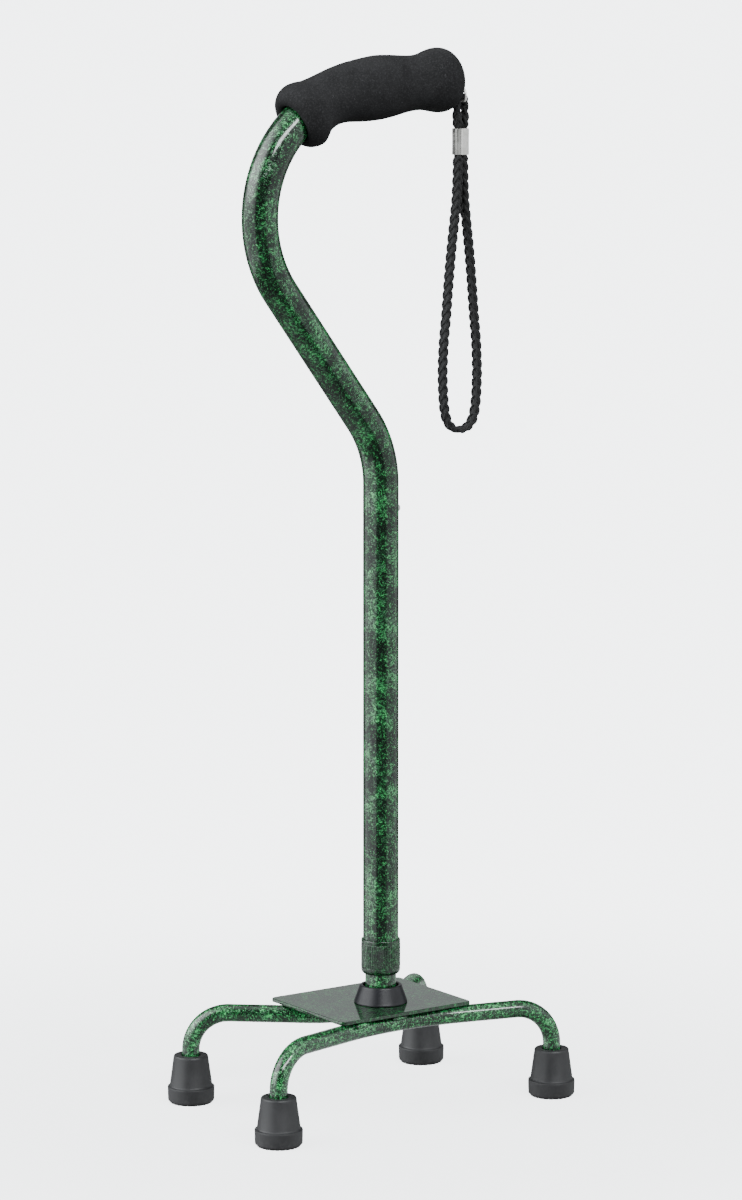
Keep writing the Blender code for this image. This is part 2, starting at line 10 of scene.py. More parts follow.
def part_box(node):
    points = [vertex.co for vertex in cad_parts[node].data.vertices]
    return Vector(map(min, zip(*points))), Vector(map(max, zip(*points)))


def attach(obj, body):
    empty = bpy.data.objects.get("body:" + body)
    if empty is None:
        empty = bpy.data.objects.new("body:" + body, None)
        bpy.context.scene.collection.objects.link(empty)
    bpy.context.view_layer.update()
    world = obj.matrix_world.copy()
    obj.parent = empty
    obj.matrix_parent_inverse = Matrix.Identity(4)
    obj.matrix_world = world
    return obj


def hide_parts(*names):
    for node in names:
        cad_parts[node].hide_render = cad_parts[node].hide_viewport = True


MM = 0.001
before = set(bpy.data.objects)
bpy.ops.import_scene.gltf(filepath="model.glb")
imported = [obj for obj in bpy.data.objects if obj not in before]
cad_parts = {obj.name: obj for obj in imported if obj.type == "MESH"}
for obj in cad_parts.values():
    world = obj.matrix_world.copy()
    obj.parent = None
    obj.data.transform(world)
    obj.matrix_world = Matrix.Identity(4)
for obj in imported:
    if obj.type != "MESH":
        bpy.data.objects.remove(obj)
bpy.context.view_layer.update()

# Sizes shared with the CAD model
SHAFT = Vector((0.0025, -0.017, 0.0))
TUBE_R = 12.7 * MM
TUBE_BORE_R = 11.4 * MM
TUBE_FOOT_Z = 104.0 * MM
NECK_START_Z = 452.0 * MM
LOWER_BEND_R = 78.0 * MM
NECK_LEAN = math.radians(36.8)
NECK_STRAIGHT = 115.4 * MM
UPPER_BEND_R = 86.5 * MM
GRIP_RISE = math.radians(5.2)
GRIP_STRAIGHT = 82.0 * MM
MOUTH_ANGLE = math.radians(39.5)
HOLE_PITCH = 19.05 * MM
HOLE_COUNT = 13
HOLE_R = 3.4 * MM
BUTTON_Z = 434.0 * MM
BUTTON_HOLE_R = 3.35 * MM
INNER_R = 11.1 * MM
INNER_BORE_R = 9.8 * MM
INNER_Z = (79.2 * MM, 448.0 * MM)
BOLT_HOLE_R = 4.5 * MM
LEG_R = 6.35 * MM
LEG_BORE_R = 4.95 * MM
LEG_Z = 66.5 * MM
LEG_BEND_R = 28.0 * MM
LEG_FOOT_Z = 11.0 * MM
FRONT_LEGS = {"mid": 0.0, "half": 0.1195, "y": -0.067, "splay": math.radians(14), "bend": 0.200}
REAR_LEGS = {"mid": -0.004, "half": 0.1025, "y": 0.067, "splay": math.radians(-40), "bend": 0.060}
STRAP_X = 71.4 * MM
EYE_Z = 731.5 * MM
EYE_R = 3.0 * MM
WIRE_R = 0.9 * MM
RING_BAR_Z = 720.6 * MM
RING_ARC_Z = 724.7 * MM
RING_HALF = 5.9 * MM
STRAP_THICKNESS = 4.2 * MM
FIT_GAP = 0.3 * MM
WRAP_R = WIRE_R + FIT_GAP + STRAP_THICKNESS / 2
STRAND = 2.25 * MM
FERRULE_Z = (682.5 * MM, 701.2 * MM)
# Half of the strap's loop, (x, z) in mm, x from the strap's middle
STRAP_LOOP = [(2.25, 681.0), (2.65, 666.0), (3.45, 650.5), (4.8, 639.0), (7.8, 615.0), (10.2, 591.5),
              (12.2, 568.6), (14.1, 550.8), (15.0, 535.0), (15.1, 523.0), (14.3, 508.0), (12.9, 498.5),
              (10.3, 491.8), (5.6, 487.5), (0.0, 486.3)]


# ---------------------------------------------------------------- camera

CAMERA_PLACE = (-1.7910, -2.5776, 0.8427)
CAMERA_TILT = 81.38     # degrees up from straight down
CAMERA_TURN = -34.88    # degrees about Z from looking along +Y


def add_camera():
    data = bpy.data.cameras.new("camera")
    data.sensor_fit = "VERTICAL"
    data.sensor_height = 36.0
    data.lens = 133.3
    data.clip_end = 300.0
    camera = bpy.data.objects.new("camera", data)
    bpy.context.scene.collection.objects.link(camera)
    camera.location = CAMERA_PLACE
    camera.rotation_euler = (math.radians(CAMERA_TILT), 0.0, math.radians(CAMERA_TURN))
    bpy.context.scene.camera = camera


add_camera()


# ---------------------------------------------------------------- node helpers

class Nodes:
    """Short names for building a node tree.  All but add and feed return an output socket."""

    def __init__(self, tree):
        self.tree = tree
        self.tree.nodes.clear()

    def add(self, kind, inputs=None, **settings):
        made = self.tree.nodes.new(kind)
        for name, value in settings.items():
            setattr(made, name, value)
        for name, value in (inputs or {}).items():
            self.feed(made.inputs[name], value)
        return made

    def feed(self, socket, value):
        if isinstance(value, bpy.types.NodeSocket):
            self.tree.links.new(value, socket)
        elif value is not None:
            socket.default_value = value

    def math(self, operation, first, second=None, clamp=False):
        made = self.add("ShaderNodeMath", operation=operation, use_clamp=clamp)
        for socket, value in zip(made.inputs, (first, second)):
            self.feed(socket, value)
        return made.outputs[0]

    def vector(self, operation, first, second=None, scale=None):
        made = self.add("ShaderNodeVectorMath", operation=operation)
        self.feed(made.inputs[0], first)
        self.feed(made.inputs[1], second)
        if scale is not None:
            self.feed(made.inputs["Scale"], scale)
        return made.outputs["Value" if operation == "LENGTH" else "Vector"]

    def place(self, kind="Object"):
        return self.add("ShaderNodeTexCoord").outputs[kind]

    def noise(self, where, scale, detail=2.0, roughness=0.5, distortion=0.0, colour=False):
        made = self.add("ShaderNodeTexNoise", {"Vector": where, "Scale": scale, "Detail": detail,
                                               "Roughness": roughness, "Distortion": distortion})
        return made.outputs["Color" if colour else "Fac"]

    def cells(self, where, scale):
        return self.add("ShaderNodeTexVoronoi", {"Vector": where, "Scale": scale}).outputs["Distance"]

    def height(self, where):
        return self.add("ShaderNodeSeparateXYZ", {"Vector": where}).outputs["Z"]

    def span(self, value, low=0.0, high=1.0, to_low=0.0, to_high=1.0, smooth=True):
        """Carry a value from low..high to another range, held at its ends."""
        made = self.add("ShaderNodeMapRange", interpolation_type="SMOOTHSTEP" if smooth else "LINEAR")
        for socket, given in zip(made.inputs, (value, low, high, to_low, to_high)):
            self.feed(socket, given)
        return made.outputs[0]

    def mix(self, share, first, second):
        """Blend two colours, each a tuple or a socket."""
        made = self.add("ShaderNodeMix", data_type="RGBA")
        self.feed(made.inputs[0], share)
        self.feed(made.inputs[6], (*first, 1.0) if isinstance(first, tuple) else first)
        self.feed(made.inputs[7], (*second, 1.0) if isinstance(second, tuple) else second)
        return made.outputs[2]

    def bump(self, height, distance, strength=1.0, normal=None):
        made = self.add("ShaderNodeBump", {"Height": height, "Distance": distance, "Strength": strength,
                                           "Normal": normal})
        return made.outputs[0]


def new_material(name):
    made = bpy.data.materials.new(name)
    made.use_nodes = True
    return made, Nodes(made.node_tree)


def finish_material(nodes, **sockets):
    shader = nodes.add("ShaderNodeBsdfPrincipled")
    for name, value in sockets.items():
        nodes.feed(shader.inputs[name.replace("_", " ")], value)
    nodes.add("ShaderNodeOutputMaterial", {"Surface": shader.outputs[0]})


# ---------------------------------------------------------------- materials

def crackle_paint(name, patchiness=1.0, waviness=0.30, strength=1.0, coat=1.40, sparkle=1.0):
    """Near-black paint crazed with short bright green strokes, under a clear gloss coat.

    patchiness gathers the strokes into clusters and waviness ripples the coat.  strength is how bright the
    strokes are, sparkle how shiny, and coat is the clear coat's refractive index.
    """
    made, n = new_material(name)
    where = n.place()

    # 0 where strokes are few, 1 where they crowd together
    patch = n.noise(where, 62.0, 3.0, 0.62)
    spread = 0.15 / patchiness
    crowd = n.span(patch, 0.5 - spread, 0.5 + spread, 0.5 - 0.5 * patchiness, 1.0)

    # strokes: thin bands along a bent, stretched noise, broken up by a second one
    drift = n.vector("SUBTRACT", n.noise(where, 110.0, 2.0, 0.5, colour=True), (0.5, 0.5, 0.5))
    bent = n.vector("ADD", where, n.vector("SCALE", drift, scale=7.0 * MM))
    stretched = n.vector("MULTIPLY", bent, (0.62, 0.62, 1.6))
    ridge = n.math("ABSOLUTE", n.math("SUBTRACT", n.noise(stretched, 1080.0, 2.0, 0.55, 0.6), 0.5))
    width = n.span(crowd, to_low=0.022, to_high=0.060, smooth=False)
    lines = n.span(n.math("SUBTRACT", width, ridge), -0.012, 0.022)
    gaps = n.noise(bent, 640.0, 3.0, 0.62)
    level = n.span(crowd, to_low=0.562, to_high=0.474, smooth=False)
    strokes = n.math("MULTIPLY", lines, n.span(n.math("SUBTRACT", gaps, level), -0.02, 0.04))

    # small round specks, and fine dust between the strokes
    specks = n.math("MULTIPLY", n.span(n.cells(where, 1050.0), 0.36, 0.18), n.span(gaps, 0.45, 0.60))
    grains = n.span(n.noise(where, 1500.0, 2.0, 0.6), 0.52, 0.62)
    dust = n.math("MULTIPLY", grains, n.span(crowd, to_low=0.10, to_high=0.28))
    green = n.math("MAXIMUM", n.math("MAXIMUM", strokes, dust), n.math("MULTIPLY", specks, 0.8), clamp=True)

    dull, vivid = (tuple(c * strength for c in colour)
                   for colour in ((0.008, 0.082, 0.027), (0.032, 0.385, 0.095)))
    bright = n.mix(n.span(n.noise(where, 260.0, 3.0, 0.6), 0.38, 0.62), dull, vivid)
    ground = n.mix(crowd, (0.0012, 0.0022, 0.0016), (0.0016, 0.0100, 0.0034))
    wave = n.bump(n.noise(where, 150.0, 2.0, 0.5), 0.14 * MM, waviness) if waviness else None
    finish_material(n, Base_Color=n.mix(green, ground, bright), Roughness=0.36,
                    Normal=n.bump(green, 0.04 * MM, 0.3),
                    Specular_IOR_Level=n.span(green, to_low=0.05, to_high=sparkle, smooth=False),
                    Coat_Weight=1.0, Coat_Roughness=0.035, Coat_IOR=coat, Coat_Normal=wave)
    return made


def foam_material():
    """Closed-cell foam: charcoal, faintly mottled, with fine pores and a little lint."""
    made, n = new_material("charcoal_foam_look")
    where = n.place()
    mottle = n.noise(where, 70.0, 4.0, 0.6)
    cells = n.cells(where, 2300.0)
    grain = n.noise(where, 950.0, 4.0, 0.75)
    threads = n.noise(n.vector("MULTIPLY", where, (1.0, 1.0, 0.55)), 900.0, 2.0, 0.6, 1.2)
    lint = n.span(threads, 0.70, 0.78)
    base = n.mix(n.span(mottle, 0.3, 0.7), (0.0085, 0.0085, 0.0088), (0.0135, 0.0135, 0.0140))
    base = n.mix(n.math("MULTIPLY", n.span(grain, 0.46, 0.72), 0.8), base, (0.034, 0.034, 0.0355))
    base = n.mix(n.math("MULTIPLY", lint, 0.85), base, (0.10, 0.10, 0.11))
    height = n.math("ADD", n.math("MULTIPLY", cells, 0.8), grain)
    soft = n.bump(mottle, 1.0 * MM, 0.35)
    finish_material(n, Base_Color=base, Roughness=0.92, Normal=n.bump(height, 0.16 * MM, 0.8, soft),
                    Specular_IOR_Level=0.10)
    return made


def rubber_material():
    """Moulded dark grey rubber with a faint bloom, a painted highlight that makes its edges paler, and dust
    near the floor.
    """
    made, n = new_material("grey_rubber_look")
    where = n.place()
    cloud = n.noise(where, 85.0, 4.0, 0.6)
    grain = n.noise(where, 1800.0, 2.0, 0.6)
    low = n.span(n.height(where), 12.0 * MM, 0.0)
    dust = n.math("MULTIPLY", low, n.span(n.noise(where, 300.0, 4.0, 0.7), 0.42, 0.7))
    # painted highlight: convex rims are mixed toward a paler grey where light would catch them
    edge = n.span(n.add("ShaderNodeNewGeometry").outputs["Pointiness"], 0.53, 0.60)
    colour = n.mix(n.span(cloud, 0.3, 0.7), (0.0080, 0.0080, 0.0087), (0.0128, 0.0128, 0.0138))
    colour = n.mix(n.math("MULTIPLY", edge, 0.4), colour, (0.024, 0.024, 0.026))
    colour = n.mix(n.math("MULTIPLY", dust, 0.25), colour, (0.05, 0.049, 0.047))
    rough = n.span(cloud, 0.3, 0.7, 0.44, 0.56)
    finish_material(n, Base_Color=colour, Roughness=rough, Normal=n.bump(grain, 0.05 * MM, 0.6),
                    Specular_IOR_Level=0.32)
    return made


def socket_material():
    """Satin black plastic with faint turning marks round its axis."""
    made, n = new_material("black_plastic_look")
    where = n.place()
    rings = n.noise(n.add("ShaderNodeCombineXYZ", {"Z": n.height(where)}).outputs[0], 2600.0, 2.0, 0.6)
    cloud = n.noise(where, 160.0, 3.0, 0.6)
    colour = n.mix(n.span(cloud, 0.3, 0.7), (0.0065, 0.0065, 0.0080), (0.0100, 0.0100, 0.0120))
    finish_material(n, Base_Color=colour, Roughness=n.span(rings, 0.3, 0.7, 0.28, 0.38),
                    Normal=n.bump(rings, 0.04 * MM, 0.6), Specular_IOR_Level=0.20)
    return made


def nylon_material():
    """Natural nylon, for the hidden plugs and rings."""
    made, n = new_material("white_nylon_look")
    where = n.place()
    cloud = n.noise(where, 200.0, 3.0, 0.6)
    colour = n.mix(n.span(cloud, 0.3, 0.7), (0.50, 0.49, 0.45), (0.66, 0.65, 0.61))
    finish_material(n, Base_Color=colour, Roughness=0.45, Normal=n.bump(cloud, 0.1 * MM, 0.3))
    return made


def metal_material(name, dark, light, roughness, grain_scale):
    """Plated metal with fine handling marks."""
    made, n = new_material(name)
    where = n.place()
    cloud = n.noise(where, 220.0, 3.0, 0.6)
    grain = n.noise(n.vector("MULTIPLY", where, (1.0, 1.0, 0.12)), grain_scale, 2.0, 0.6)
    colour = n.mix(n.span(cloud, 0.3, 0.7), dark, light)
    rough = n.span(n.math("ADD", cloud, grain), 0.7, 1.3, roughness, roughness + 0.14)
    finish_material(n, Base_Color=colour, Metallic=1.0, Roughness=rough,
                    Normal=n.bump(grain, 0.03 * MM, 0.4))
    return made


def braid_material():
    """Black polyester yarn: a fine twist along each strand comes from its own length and girth."""
    made, n = new_material("black_braid_look")
    strand = n.add("ShaderNodeUVMap", uv_map="strand").outputs[0]
    parts = n.add("ShaderNodeSeparateXYZ", {"Vector": strand})
    along = n.math("MULTIPLY", parts.outputs[0], 5200.0)
    round_it = n.math("MULTIPLY", parts.outputs[1], 18.85)
    fibre = n.math("SINE", n.math("ADD", along, round_it))
    fuzz = n.noise(n.place(), 3200.0, 2.0, 0.7)
    share = n.math("ADD", n.math("MULTIPLY", fibre, 0.25), fuzz)
    colour = n.mix(n.span(share, 0.25, 0.85), (0.0020, 0.0020, 0.0022), (0.0120, 0.0120, 0.0128))
    height = n.math("ADD", n.math("MULTIPLY", fibre, 0.5), fuzz)
    finish_material(n, Base_Color=colour, Roughness=0.78, Normal=n.bump(height, 0.10 * MM, 0.7),
                    Sheen_Weight=0.10, Sheen_Roughness=0.4, Specular_IOR_Level=0.3)
    return made


PAINT = crackle_paint("green_crackle_look", strength=0.88)
COLLAR_PAINT = crackle_paint("green_crackle_collar_look", patchiness=0.8, strength=0.30, sparkle=0.5)
# a finer-speckled, brighter copy of the green paint for the legs and weld beads; the extra brightness is
# partly painted sheen, standing in for the top light along the legs
LEG_PAINT_PAINTED_SHEEN = crackle_paint("green_crackle_leg_look", patchiness=0.62, strength=1.25)
PLATE_PAINT = crackle_paint("green_crackle_plate_look", patchiness=0.5, waviness=0.0, strength=0.40,
                            coat=1.48, sparkle=0.12)
FOAM = foam_material()
RUBBER = rubber_material()
PLASTIC = socket_material()
NYLON = nylon_material()
ZINC = metal_material("zinc_steel_look", (0.50, 0.50, 0.49), (0.66, 0.66, 0.65), 0.26, 900.0)
NICKEL = metal_material("nickel_look", (0.60, 0.59, 0.56), (0.74, 0.73, 0.70), 0.10, 700.0)
NICKEL_WIRE = metal_material("nickel_wire_look", (0.72, 0.71, 0.68), (0.84, 0.83, 0.80), 0.40, 700.0)
BRAID = braid_material()


# ---------------------------------------------------------------- mesh helpers

SHARP = 35    # degrees


def add_mesh(name, body, look, sharp=SHARP):
    """Make an object of a bmesh, smooth but for its sharp edges."""
    bmesh.ops.recalc_face_normals(body, faces=body.faces)
    data = bpy.data.meshes.new(name)
    body.to_mesh(data)
    body.free()
    data.shade_smooth()
    data.set_sharp_from_angle(angle=math.radians(sharp))
    data.materials.append(look)
    made = bpy.data.objects.new(name, data)
    bpy.context.scene.collection.objects.link(made)
    return made


def stand_in(piece, body, node):
    """Put a finished piece in the place of its CAD node, on that node's body."""
    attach(piece, body)
    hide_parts(node)


def skin_rows(body, rows, closed=False):
    """Join rows of vertices with quads; a row of one vertex is a pole."""
    pairs = list(zip(rows, rows[1:]))
    if closed:
        pairs.append((rows[-1], rows[0]))
    for first, second in pairs:
        count = max(len(first), len(second))
        for k in range(count):
            m = (k + 1) % count
            if len(first) == 1:
                body.faces.new((first[0], second[m], second[k]))
            elif len(second) == 1:
                body.faces.new((first[k], first[m], second[0]))
            else:
                body.faces.new((first[k], first[m], second[m], second[k]))


def turned(name, profile, look, centre, steps, shape=None):
    """A turned piece from (radius, height) points in mm.  shape(angle, radius, height) may alter a radius."""
    body = bmesh.new()
    rows = []
    for radius, height in profile:
        if radius <= 1e-6:
            rows.append([body.verts.new((centre[0], centre[1], centre[2] + height * MM))])
            continue
        row = []
        for k in range(steps):
            angle = k * math.tau / steps
            r = shape(angle, radius, height) if shape else radius
            row.append(body.verts.new((centre[0] + r * MM * math.cos(angle),
                                       centre[1] + r * MM * math.sin(angle), centre[2] + height * MM)))
        rows.append(row)
    skin_rows(body, rows, profile[0][0] > 0 and profile[-1][0] > 0)
    return add_mesh(name, body, look)


def path_frames(path, closed=False):
    """Tangent and two normals at each point of a path, with as little twist as possible."""
    count = len(path)
    tangents = []
    for k in range(count):
        before = path[k - 1] if k or closed else path[k]
        after = path[(k + 1) % count] if k < count - 1 or closed else path[k]
        tangents.append((after - before).normalized())
    side = Vector((0, 1, 0)) if abs(tangents[0].y) < 0.9 else Vector((0, 0, 1))
    frames = []
    for tangent in tangents:
        side = (side - tangent * side.dot(tangent)).normalized()
        frames.append((tangent, side, tangent.cross(side)))
    return frames


def swept(name, path, radii, look, closed=False):
    """A round bar along a path; radii is one number or one for each point."""
    sides = 20
    if not isinstance(radii, list):
        radii = [radii] * len(path)
    body = bmesh.new()
    rows = []
    for point, (_, side, up), radius in zip(path, path_frames(path, closed), radii):
        row = []
        for m in range(sides):
            angle = m * math.tau / sides
            spoke = side * math.cos(angle) + up * math.sin(angle)
            row.append(body.verts.new(point + spoke * radius))
        rows.append(row)
    if not closed:
        rows.insert(0, [body.verts.new(path[0])])
        rows.append([body.verts.new(path[-1])])
    skin_rows(body, rows, closed)
    return add_mesh(name, body, look, 40)


def hollow_tube(name, path, radius, bore, look, sides):
    """A tube along a path, open at both ends, with its rims eased."""
    lip = 0.3 * MM
    frames = path_frames(path)
    body = bmesh.new()

    def row(k, r, along=0.0):
        tangent, side, up = frames[k]
        centre = path[k] + tangent * along
        return [body.verts.new(centre + side * r * math.cos(m * math.tau / sides)
                               + up * r * math.sin(m * math.tau / sides)) for m in range(sides)]

    last = len(path) - 1
    rows = [row(0, radius - lip), row(0, radius, lip)]
    rows += [row(k, radius) for k in range(1, last)]
    rows += [row(last, radius, -lip), row(last, radius - lip), row(last, bore)]
    rows += [row(k, bore) for k in range(last - 1, 0, -1)]
    rows.append(row(0, bore))
    skin_rows(body, rows, True)
    return add_mesh(name, body, look)


def cut(piece, cutter):
    """Take one object's shape out of another, for good."""
    boolean = piece.modifiers.new("cut", "BOOLEAN")
    boolean.operation = "DIFFERENCE"
    boolean.solver = "EXACT"
    boolean.object = cutter
    graph = bpy.context.evaluated_depsgraph_get()
    data = bpy.data.meshes.new_from_object(piece.evaluated_get(graph))
    piece.modifiers.clear()
    piece.data = data
    data.set_sharp_from_angle(angle=math.radians(SHARP))
    bpy.data.objects.remove(cutter, do_unlink=True)


def along_x(spot):
    """A placing that lays an upright shape along X at a spot."""
    return Matrix.Translation(spot) @ Matrix.Rotation(math.pi / 2, 4, "Y")


def drill(piece, places, radius, depth, sides):
    """Cut a round hole at each placing, along its own Z."""
    holes = bmesh.new()
    for place in places:
        bmesh.ops.create_cone(holes, cap_ends=True, segments=sides, radius1=radius, radius2=radius,
                              depth=depth, matrix=place)
    cut(piece, add_mesh(piece.name + "_holes", holes, piece.data.materials[0]))


def arc(centre, radius, start, end, steps):
    """Points (x, z) along an arc, between two angles."""
    turn = (end - start) / steps
    return [(centre[0] + radius * math.cos(start + k * turn), centre[1] + radius * math.sin(start + k * turn))
            for k in range(steps + 1)]


def catmull(points, steps):
    """Points on a smooth curve through the given vectors."""
    ends = [2 * points[0] - points[1], *points, 2 * points[-1] - points[-2]]
    made = []
    for a, b, c, d in zip(ends, ends[1:], ends[2:], ends[3:]):
        for k in range(steps):
            t = k / steps
            made.append(0.5 * (2 * b + (c - a) * t + (2 * a - 5 * b + 4 * c - d) * t * t
                               + (3 * b - a - 3 * c + d) * t ** 3))
    return made + [points[-1]]


def resampled(path, step):
    """The same path with points an even distance apart."""
    lengths = [0.0]
    for a, b in zip(path, path[1:]):
        lengths.append(lengths[-1] + (b - a).length)
    count = max(2, round(lengths[-1] / step))
    made = []
    k = 0
    for m in range(count + 1):
        want = lengths[-1] * m / count
        while k < len(path) - 2 and lengths[k + 1] < want:
            k += 1
        share = (want - lengths[k]) / max(lengths[k + 1] - lengths[k], 1e-9)
        made.append(path[k].lerp(path[k + 1], share))
    return made


# ---------------------------------------------------------------- wrist strap

CORE_HALF = (3.45 * MM, 1.55 * MM)    # the solid core that the yarns wind round: across, and out
YARN_HALF = (1.28 * MM, 0.82 * MM)
CROSSING_LIFT = 0.40 * MM
YARNS_EACH_WAY = 4
BRAID_REPEAT = 27.0 * MM
SQUARENESS = 0.62                     # 1 is an ellipse, less is squarer
FERRULE_SQUEEZE = 0.27
RING_SQUEEZE = 0.20


def strap_route():
    """The strap's centre line, as in the CAD: out of the ferrule, over the ring's bar and round the loop."""
    butt = (FERRULE_Z[0] + FERRULE_Z[1]) / 2
    climb = [Vector((STRAND, 0, butt + FIT_GAP)), Vector((STRAND, 0, FERRULE_Z[1])),
             Vector((WRAP_R - 0.2 * MM, 0, 0.7085)), Vector((WRAP_R, 0, 0.7150))]
    over = [Vector((x, 0, z)) for x, z in arc((0.0, RING_BAR_Z), WRAP_R, 0.0, math.pi, 8)]
    down = [Vector((-p.x, 0, p.z)) for p in reversed(climb[1:])]
    side = [Vector((x * MM, 0, z * MM)) for x, z in STRAP_LOOP]
    loop = [Vector((-p.x, 0, p.z)) for p in side] + list(reversed(side[:-1]))
    points = climb + over + down + loop + [Vector((STRAND, 0, butt - FIT_GAP))]
    centre = Vector((STRAP_X, SHAFT.y, 0.0))
    return resampled([centre + p for p in catmull(points, 6)], 0.5 * MM)


def squeezed(height):
    """How much of its full size the braid keeps at a height: less in the ferrule and near the ring."""
    depth = min(height - FERRULE_Z[0], FERRULE_Z[1] - height) / MM
    kept = 1.0 - FERRULE_SQUEEZE * min(1.0, max(0.0, (depth + 2.5) / 2.5))
    return kept - RING_SQUEEZE * min(1.0, max(0.0, (height / MM - 708.0) / 5.0))


def round_core(angle, size):
    """A point on the squared core, (across, out)."""
    c, s = math.cos(angle), math.sin(angle)
    return Vector((math.copysign(abs(c) ** SQUARENESS, c) * CORE_HALF[0] * size,
                   math.copysign(abs(s) ** SQUARENESS, s) * CORE_HALF[1] * size))


def braided_strap(route):
    """Eight-strand herringbone braid, pressed flat: four yarns wind each way round a squared core."""
    sides = 8
    frames = path_frames(route)
    step = (route[1] - route[0]).length
    body = bmesh.new()
    layer = body.loops.layers.uv.new("strand")
    for way in (0, 1, -1):    # 0 is the core itself
        for strand in range(YARNS_EACH_WAY if way else 1):
            rows = []
            for k, point in enumerate(route):
                tangent = frames[k][0]
                out = Vector((tangent.z, 0, -tangent.x)).normalized()
                size = squeezed(point.z)
                if way == 0:
                    ring = [round_core((m + 0.5) * math.tau / sides, size) for m in range(sides)]
                else:
                    angle = 0.35 + (way * k * step / BRAID_REPEAT + strand / YARNS_EACH_WAY) * math.tau
                    ahead = round_core(angle + 0.06, size) - round_core(angle - 0.06, size)
                    normal = Vector((ahead.y, -ahead.x)).normalized()
                    side = Vector((-normal.y, normal.x))
                    spot = round_core(angle, size) + normal * CROSSING_LIFT * size * way * math.sin(2 * angle)
                    turns = [m * math.tau / sides for m in range(sides)]
                    ring = [spot + (side * YARN_HALF[0] * math.cos(turn)
                                    + normal * YARN_HALF[1] * math.sin(turn)) * size for turn in turns]
                rows.append([body.verts.new(point + Vector((0, p.x, 0)) + out * p.y) for p in ring])
            for k, (first, second) in enumerate(zip(rows, rows[1:])):
                for m in range(sides):
                    n = (m + 1) % sides
                    face = body.faces.new((first[m], first[n], second[n], second[m]))
                    spots = ((k, m), (k, m + 1), (k + 1, m + 1), (k + 1, m))
                    for loop, (row_number, turn) in zip(face.loops, spots):
                        loop[layer].uv = (row_number * step, turn / sides)
            body.faces.new(rows[0])
            body.faces.new(rows[-1])
    return add_mesh("wrist_strap_braid", body, BRAID, 60)


ROUTE = strap_route()
strap = braided_strap(ROUTE)
stand_in(strap, "strap", "wrist_strap")


def ferrule_piece():
    """Pressed metal band round both strands, creased down its two faces and eased at its ends."""
    middle = Vector((STRAP_X, SHAFT.y, (FERRULE_Z[0] + FERRULE_Z[1]) / 2))
    half_height = (FERRULE_Z[1] - FERRULE_Z[0]) / 2
    twist = Matrix.Rotation(math.radians(-10.0), 3, "Z")
    outline = [(5.15, 2.9), (5.05, 3.4), (4.75, 3.75), (4.3, 3.9), (0.75, 3.9), (0.35, 3.6), (0.0, 3.5),
               (-0.35, 3.6), (-0.75, 3.9), (-4.3, 3.9), (-4.75, 3.75), (-5.05, 3.4), (-5.15, 2.9),
               (-5.15, -2.9), (-5.05, -3.4), (-4.8, -3.55), (-4.5, -3.6), (-1.75, -3.9), (-1.2, -3.4),
               (-0.7, -3.95), (4.3, -3.9), (4.75, -3.75), (5.05, -3.4), (5.15, -2.9), (5.15, 0.0)]
    inside = [(max(-4.4, min(4.4, x * 0.9)), max(-3.15, min(3.15, y * 0.9))) for x, y in outline]
    levels = [(-1.0, 0.93), (-0.97, 0.985), (-0.9, 1.0), (-0.3, 0.985), (0.3, 0.985), (0.9, 1.0),
              (0.97, 0.985), (1.0, 0.93)]    # share of the half height, and size there
    body = bmesh.new()

    def row(points, share, size=1.0):
        rise = Vector((0, 0, share * half_height))
        return [body.verts.new(middle + twist @ (Vector((x, y, 0)) * MM) * size + rise) for x, y in points]

    rows = [row(outline, share, size) for share, size in levels]
    rows += [row(inside, 1.0), row(inside, -1.0)]
    skin_rows(body, rows, True)
    made = add_mesh("strap_ferrule_band", body, NICKEL, 9)
    stand_in(made, "strap", "strap_ferrule")
    return made


ferrule = ferrule_piece()


# ---------------------------------------------------------------- handle

def neck_centres():
    """Centres of the neck's lower and upper bends, (x, z) from the shaft."""
    lower = (-LOWER_BEND_R, NECK_START_Z)
    reach = LOWER_BEND_R + UPPER_BEND_R
    upper = (lower[0] + reach * math.cos(NECK_LEAN) - NECK_STRAIGHT * math.sin(NECK_LEAN),
             lower[1] + reach * math.sin(NECK_LEAN) + NECK_STRAIGHT * math.cos(NECK_LEAN))
    return lower, upper


def grip_point(along):
    """A point (x, z) on the straight part of the grip's axis."""
    cx, cz = neck_centres()[1]
    return (cx - UPPER_BEND_R * math.sin(GRIP_RISE) + along * math.cos(GRIP_RISE),
            cz + UPPER_BEND_R * math.cos(GRIP_RISE) + along * math.sin(GRIP_RISE))


def handle_path():
    """Centre line of the handle tube, close enough together to look smooth."""
    lower, upper = neck_centres()
    points = [(0.0, TUBE_FOOT_Z + (NECK_START_Z - TUBE_FOOT_Z) * k / 48) for k in range(48)]
    points += arc(lower, LOWER_BEND_R, 0.0, NECK_LEAN, 18)
    start = points[-1]
    bend = arc(upper, UPPER_BEND_R, math.pi + NECK_LEAN, math.pi / 2 + GRIP_RISE, 60)
    dx, dz = bend[0][0] - start[0], bend[0][1] - start[1]
    points += [(start[0] + dx * k / 12, start[1] + dz * k / 12) for k in range(1, 12)]
    points += bend
    points += [grip_point(GRIP_STRAIGHT * k / 6) for k in range(1, 7)]
    return [Vector((SHAFT.x + x, SHAFT.y, z)) for x, z in points]


def handle_tube():
    """Swan-neck tube with its row of height holes."""
    tube = hollow_tube("handle_tube_painted", handle_path(), TUBE_R, TUBE_BORE_R, PAINT, 80)
    places = [along_x((SHAFT.x + TUBE_R, SHAFT.y, BUTTON_Z - number * HOLE_PITCH))
              for number in range(HOLE_COUNT)]
    drill(tube, places, HOLE_R, 8.0 * MM, 40)
    stand_in(tube, "handle", "handle_tube")


